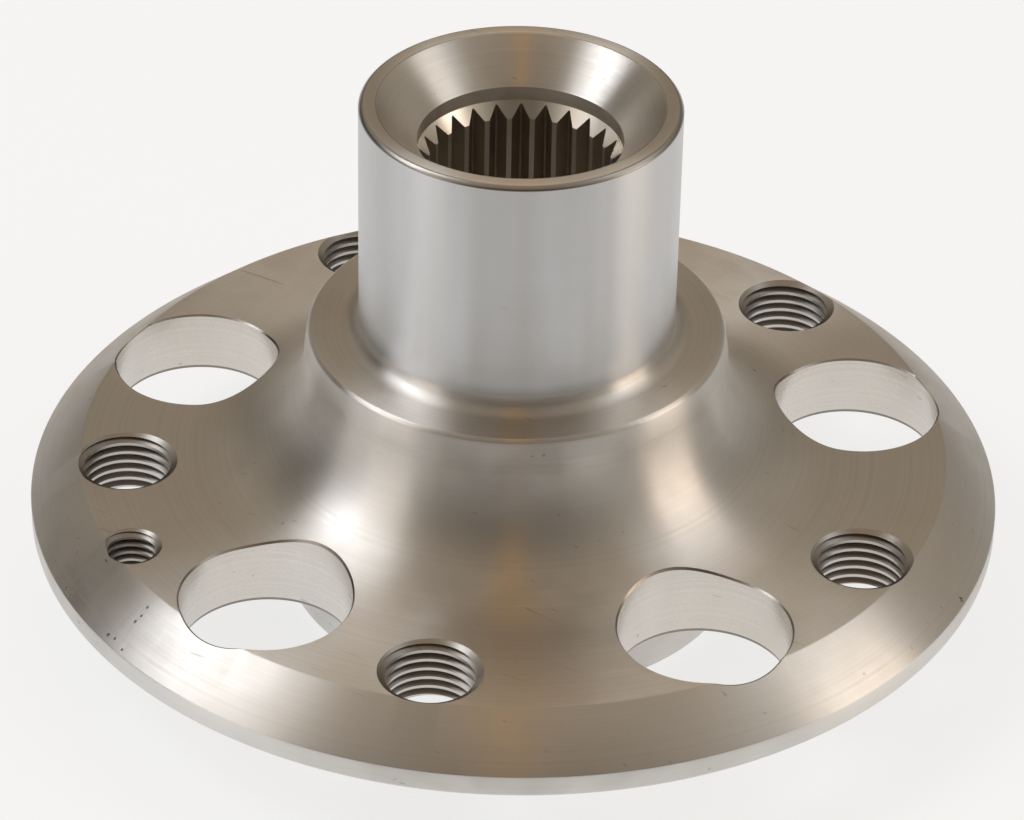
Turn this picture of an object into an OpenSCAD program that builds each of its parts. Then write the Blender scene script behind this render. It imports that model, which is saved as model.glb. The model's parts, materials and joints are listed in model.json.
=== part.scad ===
// Wheel hub for a driven wheel, turned and broached from one steel forging.
// It stands on the end face of its wheel pilot, with the bearing barrel pointing up.
// The origin is the centre of the pilot's end face, +Z runs along the axis towards the barrel's end,
// and +X passes through the centre of a wheel-bolt hole.

/* [Flange] */
// Outside diameter of the flange
flange_d = 140; // [138:0.5:160]
// Thickness of the flange at the wheel bolts
flange_t = 9.5; // [8:0.5:14]
// Diameter of the flat face on the bearing side, where the rim's taper begins
face_d = 125; // [118:0.5:130]
// Height of the plain wall that the taper leaves at the rim
rim_wall = 3.5; // [2:0.5:6]
// Bevel on the rim's wheel-side edge
rim_bevel = 0.6; // [0.2:0.1:1.5]

/* [Wheel pilot] */
// Diameter that centres the brake disc and the wheel
pilot_d = 66.5; // [60:0.1:74]
// Height of the pilot below the wheel face
pilot_h = 12; // [8:0.5:20]
// Lead-in bevel on the pilot's end
pilot_bevel = 1.5; // [0.5:0.1:3]

/* [Flare and shoulder] */
// Outside diameter of the ring that the bearing's inner race seats on
shoulder_d = 59.5; // [54:0.5:64]
// Height of that ring's face above the flange
shoulder_h = 20.5; // [18:0.5:30]
// Edge bevel of the ring
shoulder_bevel = 0.5; // [0.2:0.1:1.5]
// Radius of the flare that runs from the ring down into the flange
flare_r = 17; // [10:0.5:17.5]
// How much wider the flare's top is than the ring, on the radius
flare_draft = 0.5; // [0.2:0.1:1]

/* [Bearing barrel] */
// Diameter of the ground bearing seat
barrel_d = 45; // [43:0.5:48]
// Length of the barrel above the ring
barrel_l = 36; // [30:0.5:50]
// Fillet between the barrel and the ring
seat_fillet = 2.5; // [1:0.1:3]
// Outer edge bevel at the barrel's end
barrel_bevel = 0.5; // [0.2:0.1:1]

/* [Bore] */
// Mouth diameter of the cone that the shaft's shoulder seats in
cone_d = 40; // [36:0.5:41]
// Half angle of that cone
cone_angle = 45; // [40:1:55]
// Diameter of the plain relief below the cone
relief_d = 28.8; // [28.4:0.1:30]
// Length of the relief
relief_l = 2.1; // [1:0.1:4]
// Slope of the teeth's lead-in, measured from the axis
lead_angle = 34; // [25:1:60]

/* [Spline] */
// Number of spline teeth
spline_teeth = 25; // [18:1:36]
// Diameter across the roots of the tooth spaces
spline_major_d = 28.2; // [27.6:0.1:28.4]
// Diameter across the tooth lands
spline_minor_d = 25.8; // [25.4:0.1:26.4]
// Width of the flat at the root of a tooth space
spline_root_w = 0.25; // [0.1:0.05:0.6]
// Angle between a tooth space's flank and its centre line
spline_flank = 42; // [38:1:45]
// Turn of the first tooth space away from +X
spline_turn = 3.8; // [0:0.1:14.4]

/* [Nut recess] */
// Diameter of the recess that takes the axle nut and its socket
recess_d = 50; // [46:0.5:54]
// Depth of the nut's seat from the pilot's end
recess_depth = 24; // [20:0.5:28]
// Fillet at the bottom of the recess
recess_fillet = 2; // [1:0.5:4]
// Bevel at the mouth of the recess
recess_bevel = 1; // [0.5:0.1:2]
// Bevel where the spline opens onto the nut's seat
seat_bevel = 0.3; // [0.1:0.1:1]

/* [Wheel-bolt holes] */
// Number of wheel bolts
bolt_count = 5; // [4:1:5]
// Diameter of the circle through the wheel bolts
bolt_pcd = 112; // [110:0.5:113]
// Thread diameter of the wheel bolts
bolt_d = 14; // [12:1:14]
// Thread pitch of the wheel bolts
bolt_pitch = 1.5; // [1.25:0.25:1.5]
// Countersink diameter of the wheel-bolt holes
bolt_csk_d = 14.5; // [14:0.5:16]
// Full angle of the countersinks on all the tapped holes
csk_angle = 120; // [90:5:120]

/* [Access holes] */
// Diameter of the plain holes that give a tool its way to the bearing's bolts
access_d = 24; // [18:0.5:24]
// Diameter of the circle through those holes
access_pcd = 103; // [100:0.5:104]
// How far each one lies behind its wheel-bolt hole
access_lag = 30; // [28:0.5:38]

/* [Retaining-screw hole] */
// Thread diameter of the screw that holds the brake disc
screw_d = 8; // [6:1:8]
// Thread pitch of that screw
screw_pitch = 1.25; // [1:0.25:1.25]
// Countersink diameter of that hole
screw_csk_d = 8.6; // [8.2:0.1:10]
// Diameter of the circle that the screw lies on
screw_pcd = 120; // [118:0.5:122]
// Turn of the screw past the last wheel bolt but one
screw_lead = 20.5; // [20:0.5:22]

/* [Hidden] */
$fn = 180;
arc_steps = 20;
// Overrun of a cutter past the face that it opens
cut = 1;

pilot_r = pilot_d / 2;
rim_r = flange_d / 2;
face_r = face_d / 2;
face_z = pilot_h + flange_t;
rim_z = pilot_h + rim_wall;
shoulder_r = shoulder_d / 2;
shoulder_z = face_z + shoulder_h;
flare_top_r = shoulder_r + flare_draft;
flare_foot_r = flare_top_r + flare_r;
barrel_r = barrel_d / 2;
top_z = shoulder_z + barrel_l;

recess_r = recess_d / 2;
cone_r = cone_d / 2;
relief_r = relief_d / 2;
minor_r = spline_minor_d / 2;
major_r = spline_major_d / 2;
cone_z = top_z - (cone_r - relief_r) / tan(cone_angle);
relief_z = cone_z - relief_l;
lead_z = relief_z - (relief_r - minor_r) / tan(lead_angle);
exit_r = major_r + seat_bevel;
exit_z = recess_depth + exit_r - minor_r;

tooth_angle = 360 / spline_teeth;
bolt_angle = 360 / bolt_count;
screw_angle = (bolt_count - 2) * bolt_angle + screw_lead;

steel = [0.71, 0.69, 0.66];

// Points of an arc about [x, z], from one angle to another
function arc(x, z, r, from, to) =
    [for (i = [0:arc_steps]) let (a = from + (to - from) * i / arc_steps) [x + r * cos(a), z + r * sin(a)]];

// A point of the plane turned about the origin
function turned(p, a) = [p[0] * cos(a) - p[1] * sin(a), p[0] * sin(a) + p[1] * cos(a)];

// The turned outside, from the centre of the pilot's end face up to the centre of the barrel's end
outside = concat(
    [[0, 0], [pilot_r - pilot_bevel, 0], [pilot_r, pilot_bevel], [pilot_r, pilot_h]],
    [[rim_r - rim_bevel, pilot_h], [rim_r, pilot_h + rim_bevel], [rim_r, rim_z], [face_r, face_z]],
    arc(flare_foot_r, face_z + flare_r, flare_r, 270, 180),
    [[shoulder_r, shoulder_z - shoulder_bevel], [shoulder_r - shoulder_bevel, shoulder_z]],
    arc(barrel_r + seat_fillet, shoulder_z + seat_fillet, seat_fillet, 270, 180),
    [[barrel_r, top_z - barrel_bevel], [barrel_r - barrel_bevel, top_z], [0, top_z]]
);

// The turned inside: nut recess, spline bore, lead-in, relief and cone
inside = concat(
    [[0, -cut], [recess_r + recess_bevel + cut, -cut], [recess_r, recess_bevel]],
    arc(recess_r - recess_fillet, recess_depth - recess_fillet, recess_fillet, 0, 90),
    [[exit_r, recess_depth], [minor_r, exit_z], [minor_r, lead_z], [relief_r, relief_z]],
    [[relief_r, cone_z], [cone_r + cut * tan(cone_angle), top_z + cut], [0, top_z + cut]]
);

// One V-shaped tooth space with its centre line on +X, ending where it meets the next one.
// The spaces meet inside the lands' circle, so the bore's cylinder leaves a land on each tooth.
space_meet_x = (spline_root_w / 2 + major_r * tan(spline_flank))
    / (tan(tooth_angle / 2) + tan(spline_flank));
space_meet_y = space_meet_x * tan(tooth_angle / 2);
space = [[space_meet_x, -space_meet_y], [major_r, -spline_root_w / 2], [major_r, spline_root_w / 2]];

// All tooth spaces as one outline
spline_outline = [
    for (i = [0:spline_teeth - 1], p = space) turned(p, spline_turn + i * tooth_angle)
];

module spline_spaces() {
    translate([0, 0, recess_depth - cut])
        linear_extrude(height = cone_z - recess_depth + cut)
            polygon(spline_outline);
}

// A tap-drilled hole through the flange with a countersink at each face
module tapped_hole(drill_d, csk_d) {
    csk_slope = tan(csk_angle / 2);
    csk_h = (csk_d - drill_d) / 2 / csk_slope;
    over_d = csk_d + 2 * cut * csk_slope;
    translate([0, 0, pilot_h - cut])
        cylinder(d = drill_d, h = flange_t + 2 * cut);
    translate([0, 0, face_z - csk_h])
        cylinder(d1 = drill_d, d2 = over_d, h = csk_h + cut);
    translate([0, 0, pilot_h - cut])
        cylinder(d1 = over_d, d2 = drill_d, h = csk_h + cut);
}

module wheel_bolt_holes() {
    for (i = [0:bolt_count - 1])
        rotate(i * bolt_angle)
            translate([bolt_pcd / 2, 0, 0])
                tapped_hole(bolt_d - bolt_pitch, bolt_csk_d);
}

module access_holes() {
    for (i = [0:bolt_count - 1])
        rotate(i * bolt_angle - access_lag)
            translate([access_pcd / 2, 0, pilot_h - cut])
                cylinder(d = access_d, h = flange_t + shoulder_h);
}

module retaining_screw_hole() {
    rotate(screw_angle)
        translate([screw_pcd / 2, 0, 0])
            tapped_hole(screw_d - screw_pitch, screw_csk_d);
}

module hub() {
    color(steel)
        difference() {
            rotate_extrude() polygon(outside);
            rotate_extrude() polygon(inside);
            spline_spaces();
            wheel_bolt_holes();
            access_holes();
            retaining_screw_hole();
        }
}

hub();
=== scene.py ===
"""Builds the wheel hub's visual model around the packed CAD part: one steel piece, turned, broached,
drilled and tapped as the real one is, with a finish for each machined surface, and the studio that
it stands in."""

import json
import math

import bmesh
import bpy
from bpy.props import FloatProperty, FloatVectorProperty, IntProperty, PointerProperty
from mathutils import Matrix, Vector


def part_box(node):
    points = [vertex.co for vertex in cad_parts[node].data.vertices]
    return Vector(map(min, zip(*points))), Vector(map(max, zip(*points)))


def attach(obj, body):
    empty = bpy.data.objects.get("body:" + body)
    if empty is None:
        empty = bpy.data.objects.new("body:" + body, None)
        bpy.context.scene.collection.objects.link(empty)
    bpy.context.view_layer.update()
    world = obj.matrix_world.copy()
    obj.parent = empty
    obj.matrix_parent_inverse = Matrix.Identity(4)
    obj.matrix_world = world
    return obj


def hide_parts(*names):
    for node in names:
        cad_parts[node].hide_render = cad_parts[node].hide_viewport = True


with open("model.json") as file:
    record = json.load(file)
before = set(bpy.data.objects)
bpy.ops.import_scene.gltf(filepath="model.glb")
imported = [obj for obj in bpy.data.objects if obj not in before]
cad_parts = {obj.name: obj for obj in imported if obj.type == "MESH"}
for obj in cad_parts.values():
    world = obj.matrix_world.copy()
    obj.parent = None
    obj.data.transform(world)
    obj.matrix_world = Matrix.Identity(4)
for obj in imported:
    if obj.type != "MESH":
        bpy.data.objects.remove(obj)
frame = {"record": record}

bl_info = {
    "name": "Wheel Hub",
    "version": (1, 0, 0),
    "blender": (4, 5, 0),
    "location": "View3D > Sidebar > Wheel Hub",
    "description": "Models a driven wheel's hub with its threads, spline and machined finishes",
    "category": "Add Mesh",
}

MM = 0.001
PIECE = "wheel_hub"
NODE = "hub"
# Points nearer than this are one: on the outline, where a turned or threaded form closes, and after a cut
CORNER_MERGE = 0.002 * MM
SEAM_MERGE = 0.001 * MM
CUT_MERGE = 0.0005 * MM
# How far a cutter runs past the face that it opens, and how far a tap does
OVERRUN = 1 * MM
TAP_OVERRUN = 1.3 * MM
# How far the broach stays below the cone, and how far inside the lands its cutters begin
BROACH_GAP, BROACH_INSIDE = 0.2 * MM, 0.25 * MM
# The flare's upper point on the outline lies this far above its arc, so that the arc has room to end
FLARE_ROOM = 0.01 * MM
# A tap's faces this near its core cut the thread's crests
CREST_BAND = 0.02 * MM
# How high the cutter of a broken edge is, in depths of that edge
EDGE_CUTTER_HEIGHT = 5
# How far the access holes' cutter stays below the shoulder ring's face
ACCESS_GAP = 1 * MM
# Fewer faces than this after a cut means that the cut failed
LEAST_FACES = 1000
# An edge between faces that meet at more than this angle is drawn sharp
SHARP_ANGLE = math.radians(24)
# Half the angle between a thread's flanks
THREAD_FLANK = math.radians(30)
# How many faces round off a broken edge, the flare, the seat's fillet and the recess's fillet
EDGE_STEPS, FLARE_STEPS, SEAT_STEPS, RECESS_STEPS = 2, 32, 12, 10
MOUNTS = {mount["name"]: mount for mount in frame["record"]["mounts"]}
CAD_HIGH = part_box(NODE)[1]
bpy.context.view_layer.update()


def mount_size(name, key):
    """A size of one of the packed part's mounts, in metres."""
    return MOUNTS[name]["dims"][key] * MM


def mount_height(name):
    """How high one of the packed part's mounts lies, in metres."""
    return MOUNTS[name]["pos_m"][2]


def length(name, description, default, low=0.0, high=0.2):
    """A property that holds a length."""
    return FloatProperty(
        name=name, description=description, default=default, min=low, max=high, precision=5,
        unit="LENGTH", subtype="DISTANCE",
    )


def degrees(name, description, default, low=-360.0, high=360.0):
    """A property that holds an angle."""
    return FloatProperty(
        name=name, description=description, default=math.radians(default),
        min=math.radians(low), max=math.radians(high), unit="ROTATION", subtype="ANGLE",
    )


def share(name, description, default, high=1.0):
    """A property that holds a share, such as a roughness."""
    return FloatProperty(
        name=name, description=description, default=default, min=0.0, max=high, subtype="FACTOR",
    )


def strength(name, description, default):
    """A property that holds a lamp's power or a brightness."""
    return FloatProperty(name=name, description=description, default=default, min=0.0, max=500.0)


def count(name, description, default, low=1, high=720):
    """A property that holds a number of like things."""
    return IntProperty(name=name, description=description, default=default, min=low, max=high)


def colour(name, description, default):
    """A property that holds a colour."""
    return FloatVectorProperty(
        name=name, description=description, default=default, size=3, min=0.0, max=1.0, subtype="COLOR",
    )


class HUB_PG_turning(bpy.types.PropertyGroup):
    """Sizes of the turned outside"""

    flange_d: length("Flange diameter", "Outside diameter of the flange", 2 * CAD_HIGH.x)
    flange_t: length("Flange thickness", "Thickness of the flange at the wheel bolts", 9.5 * MM)
    face_d: length("Flat face diameter", "Where the rim's taper begins", 125 * MM)
    rim_wall: length("Rim wall", "Height of the plain wall that the taper leaves", 3.5 * MM)
    rim_bevel: length("Rim bevel", "Bevel on the rim's wheel-side edge", 0.6 * MM)
    pilot_d: length("Pilot diameter", "Diameter that centres the disc and the wheel",
                    2 * mount_size("wheel_pilot", "r_mm"))
    pilot_h: length("Pilot height", "Height of the pilot below the wheel face", mount_height("wheel_face"))
    pilot_bevel: length("Pilot bevel", "Lead-in bevel on the pilot's end", 1.5 * MM)
    shoulder_d: length("Shoulder diameter", "Outside diameter of the ring that the bearing seats on",
                       59.5 * MM)
    shoulder_z: length("Shoulder level", "Level of that ring's face", mount_height("bearing_shoulder"))
    shoulder_bevel: length("Shoulder bevel", "Edge bevel of the ring", 0.5 * MM)
    flare_r: length("Flare radius", "Radius of the flare between the ring and the flange", 17 * MM)
    flare_draft: length("Flare draft", "How much wider the flare's top is than the ring", 0.5 * MM)
    barrel_d: length("Barrel diameter", "Diameter of the ground bearing seat",
                     2 * mount_size("bearing_seat", "r_mm"))
    seat_fillet: length("Seat fillet", "Fillet between the barrel and the ring", 2.5 * MM)
    barrel_bevel: length("Barrel bevel", "Outer edge bevel at the barrel's end", 0.5 * MM)
    edge_break: length("Edge break", "How far the turned edges are broken", 0.15 * MM)
    steps: count("Turning steps", "Faces around the turned surfaces", 360, 36)
    nick_lift: share("Nick lift", "How far a nick's centre lies above the taper, in its own radii", 0.38)


class HUB_PG_bore(bpy.types.PropertyGroup):
    """Sizes of the bore, the spline and the nut recess"""

    cone_d: length("Cone mouth", "Mouth diameter of the cone that the shaft's shoulder seats in", 40 * MM)
    cone_angle: degrees("Cone angle", "Half angle of that cone", 45, 30, 60)
    relief_d: length("Relief diameter", "Diameter of the plain relief below the cone", 28.8 * MM)
    relief_l: length("Relief length", "Length of the relief", 2.1 * MM)
    lead_angle: degrees("Lead-in angle", "Slope of the teeth's lead-in, from the axis", 34, 20, 60)
    teeth: count("Spline teeth", "Number of spline teeth", 25, 12, 48)
    major_d: length("Spline root diameter", "Diameter across the roots of the tooth spaces", 28.2 * MM)
    minor_d: length("Spline land diameter", "Diameter across the tooth lands", 25.8 * MM)
    root_w: length("Spline root width", "Width of the flat at a tooth space's root", 0.25 * MM)
    flank: degrees("Spline flank angle", "Angle between a flank and the space's centre line", 42, 30, 50)
    turn: degrees("Spline turn", "Turn of the first tooth space away from +X", 3.8)
    recess_d: length("Recess diameter", "Diameter of the recess for the axle nut",
                     2 * mount_size("nut_recess", "r_mm"))
    recess_z: length("Recess depth", "Depth of the nut's seat from the pilot's end", mount_height("nut_seat"))
    recess_fillet: length("Recess fillet", "Fillet at the bottom of the recess", 2 * MM)
    recess_bevel: length("Recess bevel", "Bevel at the mouth of the recess", 1 * MM)
    seat_bevel: length("Seat bevel", "Bevel where the spline opens onto the nut's seat", 0.3 * MM)


class HUB_PG_holes(bpy.types.PropertyGroup):
    """Sizes of the holes in the flange"""

    bolt_count: count("Wheel bolts", "Number of wheel bolts", MOUNTS["wheel_bolts"]["dims"]["count"], 3, 8)
    bolt_pcd: length("Bolt circle", "Diameter of the circle through the wheel bolts",
                     mount_size("wheel_bolts", "pcd_mm"))
    bolt_d: length("Bolt thread", "Thread diameter of the wheel bolts", 14 * MM)
    bolt_pitch: length("Bolt pitch", "Thread pitch of the wheel bolts", 1.5 * MM)
    bolt_csk_d: length("Bolt countersink", "Countersink diameter of the wheel-bolt holes", 14.5 * MM)
    access_d: length("Access hole", "Diameter of the plain access holes", 24 * MM)
    access_pcd: length("Access circle", "Diameter of the circle through them", 103 * MM)
    access_lag: degrees("Access lag", "How far each one lies behind its wheel-bolt hole", 30)
    screw_d: length("Screw thread", "Thread diameter of the disc's retaining screw", 8 * MM)
    screw_pitch: length("Screw pitch", "Thread pitch of that screw", 1.25 * MM)
    screw_csk_d: length("Screw countersink", "Countersink diameter of that hole", 8.6 * MM)
    csk_angle: degrees("Countersink angle", "Full angle of the countersinks on the tapped holes",
                       120, 60, 150)
    edge_break: length("Hole edge break", "How far the access holes' edges are broken", 0.25 * MM)
    exit_break: length("Exit break", "The same on the wheel side, where the edge is steep", 0.15 * MM)
    exit_depth: length("Exit depth", "How far up the wall that steep edge reaches", 0.5 * MM)
    hole_steps: count("Hole steps", "Faces around each access hole", 144, 24, 360)
    thread_steps: count("Thread steps", "Faces around each thread", 72, 24, 144)


class HUB_PG_finish(bpy.types.PropertyGroup):
    """Colours of the steel on its machined surfaces"""

    turned: colour("Turned steel", "Colour of the turned faces", (0.60, 0.565, 0.52))
    ground: colour("Ground steel", "Colour of the ground barrel", (0.60, 0.60, 0.60))
    # Paler than the turned steel: painted light that lifts the rim's and the pilot's plain walls
    edged: colour("Plain walls", "Colour of the rim's and the pilot's plain walls", (0.74, 0.73, 0.71))
    milled: colour("Drilled steel", "Colour of the access holes' walls", (0.75, 0.72, 0.68))
    broached: colour("Broached steel", "Colour of the spline's flanks and roots", (0.50, 0.44, 0.37))
    # Paler than the turned steel: painted light that lifts the relief, the tooth ends and the lands, which
    # reflect the dark bore
    relieved: colour("Bored steel", "Colour of the relief, the tooth ends and the lands", (0.82, 0.76, 0.68))
    # Darker than the turned steel: painted shade for the dark rings and lines at the countersinks, the holes'
    # edges and the barrel's end bevel
    dulled: colour("Dulled steel", "Colour of the countersinks and the broken edges", (0.34, 0.315, 0.28))
    # Darker than the turned steel: painted shade in the threads' grooves, also the painted shade line at the
    # access holes' wheel side and in the nicks
    tapped: colour("Tapped steel", "Colour of the threads' flanks and roots", (0.30, 0.275, 0.25))
    burnished: colour("Burnished steel", "Colour of the threads' crests", (0.64, 0.615, 0.58))


class HUB_PG_stage(bpy.types.PropertyGroup):
    """The camera, the floor and the lamps"""

    azimuth: degrees("Azimuth", "Camera's turn about the hub's axis", 29.02)
    elevation: degrees("Elevation", "Camera's height above the horizon", 34.01, 0, 90)
    roll: degrees("Roll", "Camera's turn about its own line of sight", 1.15, -20, 20)
    distance: length("Distance", "From the camera to the hub's axis", 636.514 * MM, 0.1, 5.0)
    aim_right: length("Aim right", "How far right of the axis the camera looks", -0.433 * MM, -0.1)
    aim_up: length("Aim up", "How far above the flat face's centre it looks", 4.587 * MM, -0.1)
    lens: FloatProperty(name="Lens", description="Focal length in millimetres", default=154.377)
    sensor: FloatProperty(name="Sensor", description="Width of the sensor in millimetres", default=36.0)
    floor_reach: length("Floor reach", "How far the floor runs each way from the hub", 6.0, 0.5, 20.0)
    floor: colour("Floor", "Colour of the floor", (0.93, 0.93, 0.93))
    floor_glow: share("Floor glow", "How far the floor is lifted to white where it is seen", 0.75)
    floor_white: strength("Floor white", "Brightness that it is lifted to", 1.0)
    left_light: strength("Left softbox", "Brightness of the softbox on the left", 3.0)
    left_fill: strength("Left fill", "Brightness of the low fill on the left", 0.8)
    right_light: strength("Right softbox", "Brightness of the softbox on the right", 1.5)
    right_fill: strength("Right fill", "Brightness of the high fill on the right", 0.85)
    top_light: strength("Top softbox", "Brightness of the softbox above and behind the hub", 0.5)
    wall: colour("Wall", "Colour of the room's wall straight behind the hub", (0.335, 0.272, 0.203))
    side_wall: colour("Side wall", "Colour of the room's wall further round", (0.50, 0.455, 0.39))
    ceiling: colour("Ceiling", "Colour of the room's ceiling", (0.50, 0.435, 0.36))
    shade: colour("Shade", "Colour of the dark room behind the camera", (0.07, 0.063, 0.053))
    beam: colour("Beam", "Colour of the wooden beam over the hub", (0.75, 0.46, 0.20))


def radius_of(point):
    """Distance of a point from the hub's axis."""
    return math.hypot(point.x, point.y)


def new_piece(name, bm, materials):
    """Makes a mesh object of a bmesh at the origin, with the hub's materials in their order."""
    mesh = bpy.data.meshes.new(name)
    bm.to_mesh(mesh)
    bm.free()
    for material in materials:
        mesh.materials.append(material)
    piece = bpy.data.objects.new(name, mesh)
    bpy.context.scene.collection.objects.link(piece)
    return piece


def outline(bm, points):
    """Draws a closed outline of points in the XZ plane and rounds each corner that has a radius.
    A point is (x, z) or (x, z, radius, steps)."""
    corners = [bm.verts.new((point[0], 0, point[1])) for point in points]
    for first, second in zip(corners, corners[1:] + corners[:1]):
        bm.edges.new((first, second))
    for corner, point in zip(corners, points):
        if len(point) == 4:
            bmesh.ops.bevel(
                bm, geom=[corner], offset=point[2], offset_type="OFFSET", affect="VERTICES",
                segments=point[3], profile=0.5, material=-1, clamp_overlap=False,
            )
    bmesh.ops.remove_doubles(bm, verts=bm.verts, dist=CORNER_MERGE)


def mend(mesh):
    """Joins what a cut's rounding has split by a hair, so that the next cut starts from a closed solid, and
    raises an error if it isn't closed."""
    bm = bmesh.new()
    bm.from_mesh(mesh)
    bmesh.ops.remove_doubles(bm, verts=bm.verts, dist=CUT_MERGE)
    bmesh.ops.dissolve_degenerate(bm, edges=bm.edges, dist=CUT_MERGE)
    bmesh.ops.delete(bm, geom=[edge for edge in bm.edges if not edge.link_faces], context="EDGES")
    bmesh.ops.delete(bm, geom=[vert for vert in bm.verts if not vert.link_edges], context="VERTS")
    loose = sum(not edge.is_manifold for edge in bm.edges)
    bm.to_mesh(mesh)
    bm.free()
    if loose:
        raise RuntimeError(f"{mesh.name} has {loose} open edges")


def cut_away(piece, cutter):
    """Takes the cutter's shape out of the piece and deletes the cutter."""
    modifier = piece.modifiers.new("cut", "BOOLEAN")
    modifier.operation = "DIFFERENCE"
    modifier.solver = "EXACT"
    modifier.material_mode = "INDEX"
    modifier.object = cutter
    bpy.context.view_layer.update()
    depsgraph = bpy.context.evaluated_depsgraph_get()
    cut = bpy.data.meshes.new_from_object(piece.evaluated_get(depsgraph))
    before = piece.data
    piece.modifiers.remove(modifier)
    piece.data = cut
    cut.name = piece.name
    bpy.data.meshes.remove(before)
    spent = cutter.data
    bpy.data.objects.remove(cutter)
    bpy.data.meshes.remove(spent)
    # The solver's result differs a little from run to run, so each one is mended and tested
    mend(cut)
    if len(cut.polygons) < LEAST_FACES:
        raise RuntimeError(f"a cut left only {len(cut.polygons)} faces on {piece.name}")


def round_spots(number, pcd, turn):
    """Centres on a circle about the axis."""
    step = 2 * math.pi / number
    return [Matrix.Rotation(turn + i * step, 4, "Z") @ Vector((pcd / 2, 0, 0)) for i in range(number)]


def paint(verts, zone):
    """Gives the faces that meet at these points the material slot of that number."""
    for face in {face for vert in verts for face in vert.link_faces}:
        face.material_index = zone


def add_cylinder(bm, centre, diameter, low, high, steps, zone):
    """Adds a closed cylinder with the material slot of that number."""
    made = bmesh.ops.create_cone(
        bm, cap_ends=True, segments=steps, radius1=diameter / 2, radius2=diameter / 2, depth=high - low,
        matrix=Matrix.Translation((centre.x, centre.y, (low + high) / 2)),
    )
    paint(made["verts"], zone)


def add_countersink(bm, centre, drill_d, mouth_d, slope, level, side, steps, zone):
    """Adds a countersink at a face. slope is how much its radius grows per height, and side is 1 where
    the face looks up and -1 where it looks down."""
    depth = (mouth_d - drill_d) / 2 / slope + OVERRUN
    wide, narrow = mouth_d / 2 + OVERRUN * slope, drill_d / 2
    middle = level + side * (OVERRUN - depth / 2)
    made = bmesh.ops.create_cone(
        bm, cap_ends=True, segments=steps, radius1=narrow if side > 0 else wide,
        radius2=wide if side > 0 else narrow, depth=depth,
        matrix=Matrix.Translation((centre.x, centre.y, middle)),
    )
    paint(made["verts"], zone)


def thread_outline(core_r, crest_r, pitch, low, high):
    """One side of a thread, as pairs of a radius and a level. Its flat crest is an eighth of the pitch. The
    spin lifts it by one pitch, so it starts lower than low by more than that and has two turns to spare."""
    flank = (crest_r - core_r) * math.tan(THREAD_FLANK)
    crest = pitch / 8
    first = low - 1.5 * pitch
    turns = math.ceil((high - low) / pitch) + 2
    points = []
    for i in range(turns):
        start = first + i * pitch
        points += [(core_r, start), (crest_r, start + flank), (crest_r, start + flank + crest),
                   (core_r, start + 2 * flank + crest)]
    return points


def add_thread(bm, centre, thread_d, drill_d, pitch, low, high, phase, steps, zone):
    """Adds a screw-shaped cutter whose thread has 60 degree flanks, a flat crest and a flat core."""
    core_r = drill_d / 2
    tool = bmesh.new()
    verts = [tool.verts.new((radius, 0, level))
             for radius, level in thread_outline(core_r, thread_d / 2, pitch, low, high)]
    edges = [tool.edges.new(pair) for pair in zip(verts, verts[1:])]
    bmesh.ops.spin(
        tool, geom=verts + edges, cent=(0, 0, 0), axis=(0, 0, 1), dvec=(0, 0, pitch / steps),
        angle=2 * math.pi, steps=steps, use_merge=False,
    )
    bmesh.ops.remove_doubles(tool, verts=tool.verts, dist=SEAM_MERGE)
    for level, side in ((low, -1), (high, 1)):
        bmesh.ops.bisect_plane(
            tool, geom=tool.verts[:] + tool.edges[:] + tool.faces[:], plane_co=(0, 0, level),
            plane_no=(0, 0, side), clear_outer=True,
        )
        rim = [edge for edge in tool.edges if edge.is_boundary
               and all(abs(vert.co.z - level) < SEAM_MERGE for vert in edge.verts)]
        bmesh.ops.edgeloop_fill(tool, edges=rim)
    bmesh.ops.rotate(tool, verts=tool.verts, cent=(0, 0, 0), matrix=Matrix.Rotation(phase, 3, "Z"))
    bmesh.ops.translate(tool, verts=tool.verts, vec=(centre.x, centre.y, 0))
    bmesh.ops.recalc_face_normals(tool, faces=tool.faces)
    for face in tool.faces:
        # The flanks and roots keep the given dark finish, painted shade in the grooves; the crests get their
        # own paler steel
        middle = face.calc_center_median()
        crested = math.hypot(middle.x - centre.x, middle.y - centre.y) < core_r + CREST_BAND
        face.material_index = ZONE["crested"] if crested else zone
    mesh = bpy.data.meshes.new("thread_tool")
    tool.to_mesh(mesh)
    tool.free()
    bm.from_mesh(mesh)
    bpy.data.meshes.remove(mesh)


# Numbers of a Mix node's factor, its two colours and its resulting colour
MIX_FACTOR, MIX_FIRST, MIX_SECOND, MIX_RESULT = 0, 6, 7, 2
# A quarter of a turn, in the shader's unit for the turn of stretched reflections
QUARTER_TURN = 0.25


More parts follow.
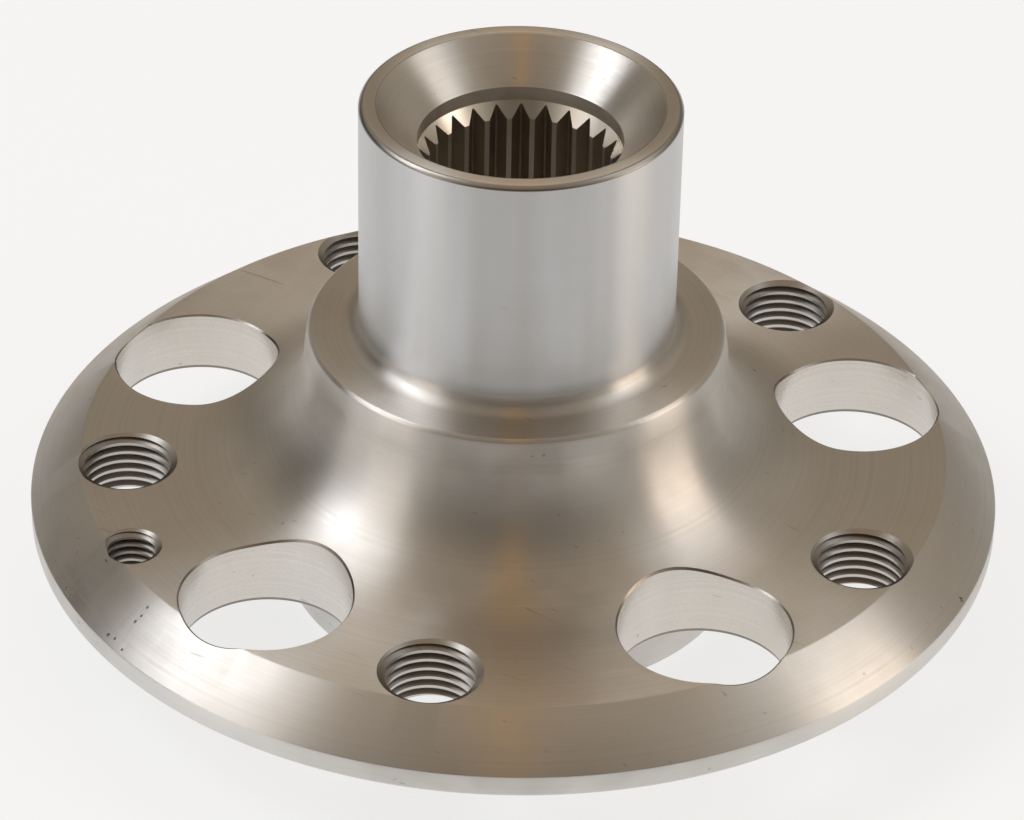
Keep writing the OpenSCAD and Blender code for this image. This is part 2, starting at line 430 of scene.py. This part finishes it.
class Shades:
    """Adds nodes to a node tree and links them as they are made."""

    def __init__(self, tree):
        self.tree = tree
        tree.nodes.clear()

    def add(self, kind, inputs=None, **settings):
        """Adds a node. An input's value may be another node's output."""
        node = self.tree.nodes.new(kind)
        for name, value in settings.items():
            setattr(node, name, value)
        for name, value in (inputs or {}).items():
            if isinstance(value, bpy.types.NodeSocket):
                self.tree.links.new(value, node.inputs[name])
            else:
                node.inputs[name].default_value = value
        return node

    def math(self, operation, first, second=0.0):
        """Adds one sum and returns its result."""
        return self.add("ShaderNodeMath", {0: first, 1: second}, operation=operation).outputs[0]

    def blend(self, factor, first, second):
        """Mixes two colours."""
        inputs = {MIX_FACTOR: factor, MIX_FIRST: first, MIX_SECOND: second}
        return self.add("ShaderNodeMix", inputs, data_type="RGBA").outputs[MIX_RESULT]

    def spread(self, value, low, high, to_low=0.0, to_high=1.0):
        """Maps a range onto another and holds its ends."""
        ends = {"From Min": low, "From Max": high, "To Min": to_low, "To Max": to_high}
        return self.add("ShaderNodeMapRange", {"Value": value, **ends}, clamp=True).outputs[0]

    def noise(self, vector=None, along=None, scale=1.0, detail=3.0, roughness=0.5):
        """Adds a noise over a vector, or over a single number where there is one."""
        inputs = {"Scale": scale, "Detail": detail, "Roughness": roughness}
        inputs["Vector" if along is None else "W"] = vector if along is None else along
        dimensions = "3D" if along is None else "1D"
        return self.add("ShaderNodeTexNoise", inputs, noise_dimensions=dimensions).outputs["Fac"]


# Each surface: name, colour, roughness, how strongly the tool marks stretch its reflections, weights of
# radius and height across the marks, the marks' depth and their coarseness
ZONES = (
    ("faced", "turned", 0.38, 0.915, (1.0, 0.0), 0.55, 1.0),
    ("flared", "turned", 0.36, 0.96, (1.0, -1.0), 0.45, 1.0),
    ("tapered", "turned", 0.36, 0.90, (1.0, -1.0), 0.45, 1.0),
    ("barrel", "ground", 0.33, 0.85, (0.0, 1.0), 0.10, 1.6),
    ("coned", "turned", 0.36, 0.93, (1.0, 1.0), 0.45, 1.0),
    ("walled", "edged", 0.36, 0.90, (0.0, 1.0), 0.5, 1.0),
    ("bored", "relieved", 0.38, 0.60, (0.0, 1.0), 0.6, 1.0),
    ("drilled", "milled", 0.28, 0.30, (0.0, 1.0), 0.5, 0.8),
    ("led", "relieved", 0.28, 0.00, (0.4, 1.0), 0.2, 1.5),
    ("reamed", "relieved", 0.40, 0.00, (0.4, 1.0), 0.4, 1.5),
    ("broached", "broached", 0.30, 0.00, (0.4, 0.0), 0.4, 1.5),
    ("sunk", "dulled", 0.30, 0.00, (1.0, 1.0), 0.3, 2.0),
    ("tapped", "tapped", 0.34, 0.30, (0.3, 1.0), 0.4, 2.0),
    ("crested", "burnished", 0.26, 0.30, (0.3, 1.0), 0.3, 2.0),
)
ZONE = {row[0]: number for number, row in enumerate(ZONES)}
# How fine the noise of each pattern is, per metre: tool marks, bands of them, grain, stains, clouds, pits
MARK_SCALE, BAND_SCALE, GRAIN_SCALE = 1400.0, 260.0, 5200.0
STAIN_SCALE, CLOUD_SCALE, PIT_SCALE = 30.0, 160.0, 420.0
# The noise of the scratches is long one way, and that way is turned about the axis
SCRATCH_SCALE, SCRATCH_TURN = (70.0, 1500.0, 1500.0), (0.0, 0.0, 0.9)
# How fine the painted reflection bands are, over the direction from the axis
REFLECTION_BAND_SCALE = 2.6
# What dull steel, painted reflection bands and stains keep of the finish's red, green and blue, and dirt's
# colour
DULL_AND_REFLECTION_TINT, WARM_TINT = (0.80, 0.77, 0.72), (0.95, 0.86, 0.74)
DIRT = (0.10, 0.085, 0.07, 1.0)
# How much of the bump comes from the bands and the grain beside the marks, and how deep it is
BAND_SHARE, GRAIN_SHARE, BUMP_DEPTH = 0.6, 0.15, 0.006 * MM


def tinted(tone, tint):
    """A tone whose channels are each weakened by the tint."""
    return tone[0] * tint[0], tone[1] * tint[1], tone[2] * tint[2], 1.0


def across_marks(shades, parts, lay):
    """Distance across the tool marks, from the place's three parts."""
    square = shades.math("ADD", shades.math("MULTIPLY", parts[0], parts[0]),
                         shades.math("MULTIPLY", parts[1], parts[1]))
    return shades.math("ADD", shades.math("MULTIPLY", shades.math("SQRT", square), lay[0]),
                       shades.math("MULTIPLY", parts[2], lay[1]))


def steel_tone(shades, place, parts, marks, tone, lay, depth):
    """Colour of a finish: its marks, then soft stains, painted reflection bands round the axis, scratches and
    pits. Each pattern fades in between two values of its noise, up to the share of its colour that it is
    given."""
    stain = shades.noise(vector=place, scale=STAIN_SCALE, detail=5.0, roughness=0.6)
    outward = shades.add("ShaderNodeCombineXYZ", {0: parts[0], 1: parts[1]}).outputs[0]
    outward = shades.add("ShaderNodeVectorMath", {0: outward}, operation="NORMALIZE").outputs[0]
    reflection_bands = shades.noise(vector=outward, scale=REFLECTION_BAND_SCALE, detail=2.0)
    pits = shades.spread(shades.noise(vector=place, scale=PIT_SCALE, detail=1.0), 0.80, 0.87)
    drawn = shades.add("ShaderNodeMapping", {
        "Vector": place, "Rotation": SCRATCH_TURN, "Scale": SCRATCH_SCALE,
    }).outputs[0]
    scratches = shades.spread(shades.noise(vector=drawn, detail=0.0), 0.825, 0.87)
    dull, warm = tinted(tone, DULL_AND_REFLECTION_TINT), tinted(tone, WARM_TINT)
    mixed = shades.blend(shades.spread(marks, 0.35, 0.65, 0.0, 0.40 * depth), (*tone, 1.0), dull)
    mixed = shades.blend(shades.spread(stain, 0.46, 0.70, 0.0, 0.08 + 0.45 * depth), mixed, warm)
    # Painted reflection: darker bands round the axis stand in for the room reflected in the barrel, the walls
    # and the holes
    mixed = shades.blend(shades.spread(reflection_bands, 0.40, 0.62, 0.0, 0.35 * (1.0 - lay[0])), mixed, dull)
    mixed = shades.blend(shades.spread(scratches, 0.0, 1.0, 0.0, 0.6 * depth), mixed, DIRT)
    return shades.blend(shades.math("MULTIPLY", pits, min(0.6, 1.2 * depth)), mixed, DIRT)


def make_steel(name, tone, roughness, stretch, lay, depth, coarse):
    """Makes one steel finish. Its tangent runs round the axis and the turn of its stretch is a quarter, so
    reflections are drawn out across the tool marks."""
    material = bpy.data.materials.new("steel_" + name)
    material.use_nodes = True
    shades = Shades(material.node_tree)
    place = shades.add("ShaderNodeTexCoord").outputs["Object"]
    parts = shades.add("ShaderNodeSeparateXYZ", {"Vector": place}).outputs
    across = across_marks(shades, parts, lay)
    marks = shades.noise(along=across, scale=MARK_SCALE / coarse, detail=6.0, roughness=0.62)
    bands = shades.noise(along=across, scale=BAND_SCALE / coarse, detail=3.0, roughness=0.5)
    grain = shades.noise(vector=place, scale=GRAIN_SCALE, detail=2.0, roughness=0.5)
    cloud = shades.noise(vector=place, scale=CLOUD_SCALE, detail=4.0, roughness=0.6)
    change = 0.05 * depth
    rough = shades.math("ADD", shades.spread(marks, 0.3, 0.7, roughness - change, roughness + change),
                        shades.spread(cloud, 0.35, 0.7, -change, 0.10 * depth))
    height = shades.math("ADD", marks, shades.math("MULTIPLY", bands, BAND_SHARE))
    height = shades.math("ADD", height, shades.math("MULTIPLY", grain, GRAIN_SHARE))
    bump = shades.add("ShaderNodeBump", {
        "Height": height, "Strength": 0.35 * depth, "Distance": BUMP_DEPTH,
    })
    around = shades.add("ShaderNodeTangent", direction_type="RADIAL", axis="Z")
    shader = shades.add("ShaderNodeBsdfPrincipled", {
        "Base Color": steel_tone(shades, place, parts, marks, tone, lay, depth), "Metallic": 1.0,
        "Roughness": rough, "Normal": bump.outputs[0], "Anisotropic": stretch,
        "Anisotropic Rotation": QUARTER_TURN, "Tangent": around.outputs[0],
    })
    shades.add("ShaderNodeOutputMaterial", {"Surface": shader.outputs[0]})
    return material


def steels(finish):
    """The hub's steel finishes in the order of their slots, made on the first call."""
    found = [bpy.data.materials.get("steel_" + row[0]) for row in ZONES]
    if all(found):
        return found
    return [make_steel(name, tuple(getattr(finish, tone)), *rest) for name, tone, *rest in ZONES]


def zone_of(radius, level, turning, bore):
    """Which finish a turned face has, by its distance from the axis and its level."""
    barrel_r = turning.barrel_d / 2
    face_z = turning.pilot_h + turning.flange_t
    thin, exact = 0.05 * MM, 0.01 * MM
    ring_r = turning.shoulder_d / 2 - turning.shoulder_bevel
    if abs(level - turning.shoulder_z) < thin and barrel_r < radius < ring_r:
        return "faced"
    if radius < bore.relief_d / 2 + thin and level > bore.recess_z:
        if radius > bore.relief_d / 2 - thin:
            return "bored"
        return "led" if radius > bore.minor_d / 2 + thin else "reamed"
    if radius < bore.cone_d / 2 and level > turning.shoulder_z:
        return "coned"
    if level > turning.shoulder_z + thin:
        if radius > barrel_r + exact:
            return "flared"
        if radius > barrel_r - exact:
            return "barrel"
        # Under the barrel's end land, its bevel takes the countersinks' darkened steel: a painted dark line
        return "faced" if level > CAD_HIGH.z - exact else "sunk"
    if level > face_z + thin:
        return "flared"
    if abs(level - face_z) < thin or abs(level - turning.pilot_h) < thin or level < thin:
        return "faced"
    if abs(level - bore.recess_z) < thin and radius < bore.recess_d / 2:
        return "faced"
    if level > turning.pilot_h + turning.rim_wall and radius > turning.face_d / 2 - thin:
        return "tapered"
    return "walled"


class HUB_OT_turn(bpy.types.Operator):
    """Turn the hub's blank: flange, flare, shoulder ring, barrel, bore and recess in one outline"""

    bl_idname = "hub.turn"
    bl_label = "Turned Blank"

    def execute(self, context):
        turning, bore = context.scene.hub_turning, context.scene.hub_bore
        pilot_r, rim_r, face_r = turning.pilot_d / 2, turning.flange_d / 2, turning.face_d / 2
        shoulder_r, barrel_r = turning.shoulder_d / 2, turning.barrel_d / 2
        face_z = turning.pilot_h + turning.flange_t
        top_z = CAD_HIGH.z
        neck_r = shoulder_r + turning.flare_draft
        cone_r, relief_r, minor_r = bore.cone_d / 2, bore.relief_d / 2, bore.minor_d / 2
        recess_r, exit_r = bore.recess_d / 2, bore.major_d / 2 + bore.seat_bevel
        cone_z = top_z - (cone_r - relief_r) / math.tan(bore.cone_angle)
        relief_z = cone_z - bore.relief_l
        lead_z = relief_z - (relief_r - minor_r) / math.tan(bore.lead_angle)
        touch = (turning.edge_break, EDGE_STEPS)
        bm = bmesh.new()
        outline(bm, [
            (recess_r + bore.recess_bevel, 0, *touch),
            (pilot_r - turning.pilot_bevel, 0, *touch),
            (pilot_r, turning.pilot_bevel, *touch),
            (pilot_r, turning.pilot_h),
            (rim_r - turning.rim_bevel, turning.pilot_h, *touch),
            (rim_r, turning.pilot_h + turning.rim_bevel, *touch),
            (rim_r, turning.pilot_h + turning.rim_wall, *touch),
            (face_r, face_z, *touch),
            (neck_r, face_z, turning.flare_r, FLARE_STEPS),
            (neck_r, face_z + turning.flare_r + FLARE_ROOM),
            (shoulder_r, turning.shoulder_z - turning.shoulder_bevel, *touch),
            (shoulder_r - turning.shoulder_bevel, turning.shoulder_z, *touch),
            (barrel_r, turning.shoulder_z, turning.seat_fillet, SEAT_STEPS),
            (barrel_r, top_z - turning.barrel_bevel, *touch),
            (barrel_r - turning.barrel_bevel, top_z, *touch),
            (cone_r, top_z, *touch),
            (relief_r, cone_z),
            (relief_r, relief_z),
            (minor_r, lead_z),
            (minor_r, bore.recess_z + exit_r - minor_r),
            (exit_r, bore.recess_z),
            (recess_r, bore.recess_z, bore.recess_fillet, RECESS_STEPS),
            (recess_r, bore.recess_bevel, *touch),
        ])
        bmesh.ops.spin(
            bm, geom=bm.verts[:] + bm.edges[:], cent=(0, 0, 0), axis=(0, 0, 1), angle=2 * math.pi,
            steps=turning.steps, use_merge=True,
        )
        bmesh.ops.remove_doubles(bm, verts=bm.verts, dist=SEAM_MERGE)
        bmesh.ops.recalc_face_normals(bm, faces=bm.faces)
        for face in bm.faces:
            centre = face.calc_center_median()
            face.material_index = ZONE[zone_of(radius_of(centre), centre.z, turning, bore)]
        if any(not edge.is_manifold for edge in bm.edges):
            raise RuntimeError("the turned blank isn't closed")
        new_piece(PIECE, bm, steels(context.scene.hub_finish))
        return {"FINISHED"}


class HUB_OT_broach(bpy.types.Operator):
    """Broach the spline's tooth spaces through the bore"""

    bl_idname = "hub.broach"
    bl_label = "Broached Spline"

    def execute(self, context):
        bore = context.scene.hub_bore
        cone_z = CAD_HIGH.z - (bore.cone_d - bore.relief_d) / 2 / math.tan(bore.cone_angle)
        low, high = bore.recess_z - OVERRUN, cone_z - BROACH_GAP
        root_x, root_y = bore.major_d / 2, bore.root_w / 2
        inner_x = bore.minor_d / 2 - BROACH_INSIDE
        inner_y = root_y + (root_x - inner_x) * math.tan(bore.flank)
        bm = bmesh.new()
        corners = [bm.verts.new((x, y, low)) for x, y in (
            (inner_x, -inner_y), (root_x, -root_y), (root_x, root_y), (inner_x, inner_y))]
        floor = bm.faces.new(corners)
        lifted = bmesh.ops.extrude_face_region(bm, geom=[floor])["geom"]
        top = [part for part in lifted if isinstance(part, bmesh.types.BMVert)]
        bmesh.ops.translate(bm, verts=top, vec=(0, 0, high - low))
        bmesh.ops.rotate(bm, verts=bm.verts, cent=(0, 0, 0), matrix=Matrix.Rotation(bore.turn, 3, "Z"))
        step = 2 * math.pi / bore.teeth
        bmesh.ops.spin(
            bm, geom=bm.verts[:] + bm.edges[:] + bm.faces[:], cent=(0, 0, 0), axis=(0, 0, 1),
            angle=2 * math.pi - step, steps=bore.teeth - 1, use_duplicate=True,
        )
        bmesh.ops.recalc_face_normals(bm, faces=bm.faces)
        for face in bm.faces:
            face.material_index = ZONE["broached"]
        materials = steels(context.scene.hub_finish)
        cut_away(bpy.data.objects[PIECE], new_piece("broach", bm, materials))
        return {"FINISHED"}


def upper_level(turning, radius):
    """Level of the flange's bearing side at that distance from the axis: flare, flat face or taper."""
    face_z, face_r = turning.pilot_h + turning.flange_t, turning.face_d / 2
    foot_r = turning.shoulder_d / 2 + turning.flare_draft + turning.flare_r
    if radius < foot_r:
        return face_z + turning.flare_r - math.sqrt(turning.flare_r ** 2 - (foot_r - radius) ** 2)
    fall = (turning.flange_t - turning.rim_wall) / (turning.flange_d / 2 - face_r)
    return face_z - max(radius - face_r, 0.0) * fall


def lower_level(turning, radius):
    """Level of the flange's wheel side, which is the same at any distance from the axis."""
    return turning.pilot_h


def add_edge_ring(bm, centre, hole_r, width, depth, turning, level_at, side, steps, zone):
    """Adds a three-sided ring that breaks a round hole's edge by that width of the face and that depth of
    the wall. level_at gives the face's level, and side is 1 where it looks up and -1 where it looks down."""
    rows = []
    lift = Vector((0, 0, side * EDGE_CUTTER_HEIGHT * depth))
    for i in range(steps):
        angle = 2 * math.pi * i / steps
        outward = Vector((math.cos(angle), math.sin(angle), 0))
        wall = Vector((centre.x, centre.y, 0)) + hole_r * outward
        mouth = wall + width * outward
        wall.z = level_at(turning, radius_of(wall)) - side * depth
        mouth.z = level_at(turning, radius_of(mouth))
        inner, outer = wall + (wall - mouth) / 2, mouth + (mouth - wall) / 2
        rows.append([bm.verts.new(point) for point in (inner, outer, inner + lift)])
    for row, following in zip(rows, rows[1:] + rows[:1]):
        for i in range(3):
            j = (i + 1) % 3
            bm.faces.new((row[i], row[j], following[j], following[i])).material_index = zone
    bmesh.ops.recalc_face_normals(bm, faces=bm.faces)


class HUB_OT_drill(bpy.types.Operator):
    """Drill the plain access holes through the flange"""

    bl_idname = "hub.drill"
    bl_label = "Access Holes"

    def execute(self, context):
        turning, holes = context.scene.hub_turning, context.scene.hub_holes
        low, high = turning.pilot_h - OVERRUN, turning.shoulder_z - ACCESS_GAP
        hole_r, steps = holes.access_d / 2, holes.hole_steps
        drill, rings = bmesh.new(), bmesh.new()
        for spot in round_spots(holes.bolt_count, holes.access_pcd, -holes.access_lag):
            add_cylinder(drill, spot, holes.access_d, low, high, steps, ZONE["drilled"])
            # The bearing side's broken edge takes the countersinks' darkened steel: painted shade round each
            # hole's mouth
            add_edge_ring(rings, spot, hole_r, holes.edge_break, holes.edge_break, turning,
                          upper_level, 1, steps, ZONE["sunk"])
            # The wheel side's broken edge takes the threads' dark steel: a painted shade line along each
            # hole's lower edge
            add_edge_ring(rings, spot, hole_r, holes.exit_break, holes.exit_depth, turning,
                          lower_level, -1, steps, ZONE["tapped"])
        materials = steels(context.scene.hub_finish)
        cut_away(bpy.data.objects[PIECE], new_piece("drill", drill, materials))
        cut_away(bpy.data.objects[PIECE], new_piece("edge_rings", rings, materials))
        return {"FINISHED"}


# Nicks that knocks left on the taper: turn from +X in degrees, distance from the axis and radius
NICKS = (
    (4.4, 69.40 * MM, 0.45 * MM), (231.6, 66.20 * MM, 0.20 * MM), (235.2, 69.30 * MM, 0.28 * MM),
    (236.7, 69.40 * MM, 0.22 * MM), (245.7, 69.20 * MM, 0.32 * MM), (246.9, 69.00 * MM, 0.25 * MM),
    (248.8, 69.40 * MM, 0.22 * MM), (247.7, 66.20 * MM, 0.26 * MM), (247.9, 65.30 * MM, 0.22 * MM),
    (247.8, 64.20 * MM, 0.24 * MM),
)
# Turn of the tap in each wheel-bolt hole and in the retaining screw's hole, in radians
BOLT_STARTS = (3.04, 4.17, 5.7, 2.58, 2.72)
SCREW_START = 5.48


class HUB_OT_tap(bpy.types.Operator):
    """Countersink and tap the wheel-bolt holes and the retaining screw's hole"""

    bl_idname = "hub.tap"
    bl_label = "Tapped Holes"

    def execute(self, context):
        turning, holes = context.scene.hub_turning, context.scene.hub_holes
        low, high = turning.pilot_h, turning.pilot_h + turning.flange_t
        bolt_drill = 2 * mount_size("wheel_bolts", "hole_r_mm")
        screw_drill = 2 * mount_size("retaining_screw", "r_mm")
        screw_spot = Vector(MOUNTS["retaining_screw"]["pos_m"])
        bolt = (holes.bolt_d, bolt_drill, holes.bolt_pitch, holes.bolt_csk_d)
        screw = (holes.screw_d, screw_drill, holes.screw_pitch, holes.screw_csk_d)
        rows = [(spot, *bolt, BOLT_STARTS[i % len(BOLT_STARTS)])
                for i, spot in enumerate(round_spots(holes.bolt_count, holes.bolt_pcd, 0))]
        rows.append((screw_spot, *screw, SCREW_START))
        materials = steels(context.scene.hub_finish)
        sinks, taps = bmesh.new(), bmesh.new()
        slope, steps = math.tan(holes.csk_angle / 2), holes.thread_steps
        for spot, thread_d, drill_d, pitch, mouth_d, phase in rows:
            for level, side in ((high, 1), (low, -1)):
                add_countersink(sinks, spot, drill_d, mouth_d, slope, level, side, steps, ZONE["sunk"])
            add_thread(taps, spot, thread_d, drill_d, pitch, low - TAP_OVERRUN, high + TAP_OVERRUN,
                       phase, steps, ZONE["tapped"])
        cut_away(bpy.data.objects[PIECE], new_piece("countersinks", sinks, materials))
        cut_away(bpy.data.objects[PIECE], new_piece("taps", taps, materials))
        return {"FINISHED"}


class HUB_OT_nick(bpy.types.Operator):
    """Nick the taper where the hub was knocked in handling"""

    bl_idname = "hub.nick"
    bl_label = "Nicks"

    def execute(self, context):
        turning = context.scene.hub_turning
        bm = bmesh.new()
        for turn, distance, radius in NICKS:
            spot = Matrix.Rotation(math.radians(turn), 3, "Z") @ Vector((distance, 0, 0))
            spot.z = upper_level(turning, distance) + turning.nick_lift * radius
            bmesh.ops.create_icosphere(bm, subdivisions=2, radius=radius, matrix=Matrix.Translation(spot))
        # The nicks take the threads' dark steel: painted shade in the dents
        for face in bm.faces:
            face.material_index = ZONE["tapped"]
        cut_away(bpy.data.objects[PIECE], new_piece("nicks", bm, steels(context.scene.hub_finish)))
        return {"FINISHED"}


class HUB_OT_finish(bpy.types.Operator):
    """Set the hub's edges and smooth faces, hang it from the root body, and hide the CAD part that it stands
    for
    """

    bl_idname = "hub.finish"
    bl_label = "Edges and Fit"

    def execute(self, context):
        piece = bpy.data.objects[PIECE]
        bm = bmesh.new()
        bm.from_mesh(piece.data)
        for face in bm.faces:
            face.smooth = True
        for edge in bm.edges:
            edge.smooth = edge.calc_face_angle(math.pi) < SHARP_ANGLE
        bm.to_mesh(piece.data)
        bm.free()
        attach(piece, "root")
        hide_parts(NODE)
        return {"FINISHED"}


# Each soft lamp: its name, its turn from straight behind the hub, its height above the horizon, its width
# and its height as the hub sees them, all in degrees, its tint, and the setting that holds its brightness
SOFTBOXES = (
    ("softbox_left", -88, 47, 21, 34, (0.94, 1.0, 1.10), "left_light"),
    ("fill_left", -118, 12, 22, 34, (1.05, 1.0, 0.96), "left_fill"),
    ("softbox_right", 98, 12, 26, 34, (1.16, 1.0, 0.85), "right_light"),
    ("fill_right", 86, 45, 28, 30, (0.90, 1.0, 1.14), "right_fill"),
    ("softbox_top", 0, 54, 26, 24, (1.05, 1.0, 0.92), "top_light"),
)
# The lamps' distance from the point that they face, and that point, near the middle of the hub's height
LAMP_REACH, LAMP_FOCUS = 1.3, Vector((0, 0, 0.04))
# The nearest and the farthest that the camera sees, in metres
CLIP_NEAR, CLIP_FAR = 0.01, 20.0
WHITE, BLACK = (1.0, 1.0, 1.0, 1.0), (0.0, 0.0, 0.0, 1.0)
# Colour of the room where no light reaches
UNLIT = (0.02, 0.02, 0.02, 1.0)


def way(azimuth, elevation):
    """The direction at that turn from straight behind the hub and that height above the horizon."""
    round_by, raise_by = math.radians(azimuth), math.radians(elevation)
    return Vector((math.sin(round_by) * math.cos(raise_by), math.cos(round_by) * math.cos(raise_by),
                   math.sin(raise_by)))


def add_softbox(context, name, toward, wide, high, tint, brightness):
    """Adds a rectangular soft lamp that faces the hub and whose face has that brightness, which takes four
    times as much power per square metre."""
    lamp = bpy.data.lights.new(name, "AREA")
    lamp.shape = "RECTANGLE"
    lamp.size = 2 * LAMP_REACH * math.tan(wide / 2)
    lamp.size_y = 2 * LAMP_REACH * math.tan(high / 2)
    lamp.energy = 4 * brightness * lamp.size * lamp.size_y
    lamp.color = tint
    holder = bpy.data.objects.new(name, lamp)
    holder.location = LAMP_FOCUS + LAMP_REACH * toward
    holder.rotation_euler = (-toward).to_track_quat("-Z", "Y").to_euler()
    context.scene.collection.objects.link(holder)


def add_floor(stage):
    """Adds the floor, which is lifted towards white where the camera or a reflection sees it and keeps the
    hub's shadow."""
    bm = bmesh.new()
    bmesh.ops.create_grid(bm, x_segments=1, y_segments=1, size=stage.floor_reach)
    paper = bpy.data.materials.new("floor_paper")
    paper.use_nodes = True
    shades = Shades(paper.node_tree)
    lit = shades.add("ShaderNodeBsdfDiffuse", {"Color": (*stage.floor, 1.0)})
    pale = shades.add("ShaderNodeEmission", {"Color": WHITE, "Strength": stage.floor_white})
    path = shades.add("ShaderNodeLightPath").outputs
    seen = shades.math("MAXIMUM", path["Is Camera Ray"],
                       shades.math("MAXIMUM", path["Is Glossy Ray"], path["Is Transmission Ray"]))
    seen = shades.math("MULTIPLY", seen, stage.floor_glow)
    shader = shades.add("ShaderNodeMixShader", {0: seen, 1: lit.outputs[0], 2: pale.outputs[0]})
    shades.add("ShaderNodeOutputMaterial", {"Surface": shader.outputs[0]})
    new_piece("floor", bm, [paper])


def add_camera(context, stage, turn, face_z):
    """Adds the camera, which looks past the centre of the flat face, and sets it on the scene."""
    right = turn @ Vector((1, 0, 0))
    ahead = turn @ Vector((0, math.cos(stage.elevation), -math.sin(stage.elevation)))
    up = turn @ Vector((0, math.sin(stage.elevation), math.cos(stage.elevation)))
    centre = Vector((0, 0, face_z)) - ahead * stage.distance + right * stage.aim_right + up * stage.aim_up
    level = Matrix.Rotation(stage.roll, 3, -ahead)
    camera = bpy.data.cameras.new("camera")
    camera.lens, camera.sensor_width, camera.sensor_fit = stage.lens, stage.sensor, "HORIZONTAL"
    camera.clip_start, camera.clip_end = CLIP_NEAR, CLIP_FAR
    viewer = bpy.data.objects.new("camera", camera)
    axes = Matrix((level @ right, level @ up, -(level @ ahead))).transposed()
    viewer.matrix_world = Matrix.Translation(centre) @ axes.to_4x4()
    context.scene.collection.objects.link(viewer)
    context.scene.camera = viewer


def room_tone(shades, stage):
    """Colour of the room in each direction. aside, ahead and above are how far a direction leans to the
    right, away from the camera and up, from -1 to 1."""
    toward = shades.add("ShaderNodeTexCoord").outputs["Generated"]
    toward = shades.add(
        "ShaderNodeVectorRotate", {"Vector": toward, "Axis": (0, 0, 1), "Angle": -stage.azimuth},
        rotation_type="AXIS_ANGLE",
    ).outputs[0]
    aside, ahead, above = shades.add("ShaderNodeSeparateXYZ", {"Vector": toward}).outputs
    sideways = shades.math("ABSOLUTE", aside)
    # The wall grows lighter to both sides, darker towards the floor, and meets the ceiling
    tone = shades.blend(shades.spread(sideways, 0.15, 0.45), (*stage.wall, 1.0), (*stage.side_wall, 1.0))
    tone = shades.blend(shades.spread(above, 0.40, 0.08, 0.0, 0.85), tone, BLACK)
    tone = shades.blend(shades.spread(above, 0.60, 0.90), tone, (*stage.ceiling, 1.0))
    # The part of the room behind the camera is dark
    tone = shades.blend(shades.spread(ahead, -0.50, -0.75), tone, (*stage.shade, 1.0))
    # A narrow beam runs over the hub towards the camera
    beam = shades.math("MULTIPLY", shades.spread(sideways, 0.07, 0.03), shades.spread(above, 0.62, 0.80))
    tone = shades.blend(beam, tone, (*stage.beam, 1.0))
    # The room is unlit at the far left, and low down from the middle left on
    low_left = shades.math("MULTIPLY", shades.spread(aside, -0.30, -0.50), shades.spread(above, 0.34, 0.20))
    unlit = shades.math("MAXIMUM", shades.spread(aside, -0.70, -0.80), low_left)
    unlit = shades.math("MULTIPLY", unlit, shades.spread(ahead, 0.05, 0.15))
    return shades.blend(unlit, tone, UNLIT)


def add_room(context, stage):
    """Sets the room round the hub as the scene's surroundings."""
    world = bpy.data.worlds.new("surroundings")
    world.use_nodes = True
    context.scene.world = world
    shades = Shades(world.node_tree)
    backdrop = shades.add("ShaderNodeBackground", {"Color": room_tone(shades, stage), "Strength": 1.0})
    shades.add("ShaderNodeOutputWorld", {"Surface": backdrop.outputs[0]})


class HUB_OT_stage(bpy.types.Operator):
    """Set the floor, the camera, the soft lamps and the surroundings"""

    bl_idname = "hub.stage"
    bl_label = "Floor, Lamps and Camera"

    def execute(self, context):
        stage, turning = context.scene.hub_stage, context.scene.hub_turning
        turn = Matrix.Rotation(stage.azimuth, 3, "Z")
        add_floor(stage)
        add_camera(context, stage, turn, turning.pilot_h + turning.flange_t)
        for name, azimuth, elevation, wide, high, tint, setting in SOFTBOXES:
            add_softbox(context, name, turn @ way(azimuth, elevation), math.radians(wide),
                        math.radians(high), tint, getattr(stage, setting))
        add_room(context, stage)
        context.scene.view_settings.view_transform = "Standard"
        return {"FINISHED"}


GROUPS = (("hub_turning", HUB_PG_turning), ("hub_bore", HUB_PG_bore), ("hub_holes", HUB_PG_holes),
          ("hub_finish", HUB_PG_finish), ("hub_stage", HUB_PG_stage))
OPERATORS = (HUB_OT_turn, HUB_OT_broach, HUB_OT_drill, HUB_OT_tap, HUB_OT_nick, HUB_OT_finish,
             HUB_OT_stage)


class HUB_PT_sidebar(bpy.types.Panel):
    """Lists the steps that make the wheel hub"""

    bl_idname = "HUB_PT_sidebar"
    bl_label = "Wheel Hub"
    bl_space_type = "VIEW_3D"
    bl_region_type = "UI"
    bl_category = "Wheel Hub"

    def draw(self, context):
        for operator in OPERATORS:
            self.layout.operator(operator.bl_idname)
        for name, group in GROUPS:
            box = self.layout.box()
            box.label(text=group.__doc__)
            for size in group.__annotations__:
                box.prop(getattr(context.scene, name), size)


def register():
    """Registers the classes and puts the property groups on the scene."""
    for name, group in GROUPS:
        bpy.utils.register_class(group)
        setattr(bpy.types.Scene, name, PointerProperty(type=group))
    for shown in (*OPERATORS, HUB_PT_sidebar):
        bpy.utils.register_class(shown)


def unregister():
    """Takes away what register made."""
    for shown in (HUB_PT_sidebar, *reversed(OPERATORS)):
        bpy.utils.unregister_class(shown)
    for name, group in reversed(GROUPS):
        delattr(bpy.types.Scene, name)
        bpy.utils.unregister_class(group)


def main():
    """Makes the hub and its stage."""
    register()
    for operator in OPERATORS:
        group, name = operator.bl_idname.split(".")
        getattr(getattr(bpy.ops, group), name)()


if __name__ == "__main__":
    main()
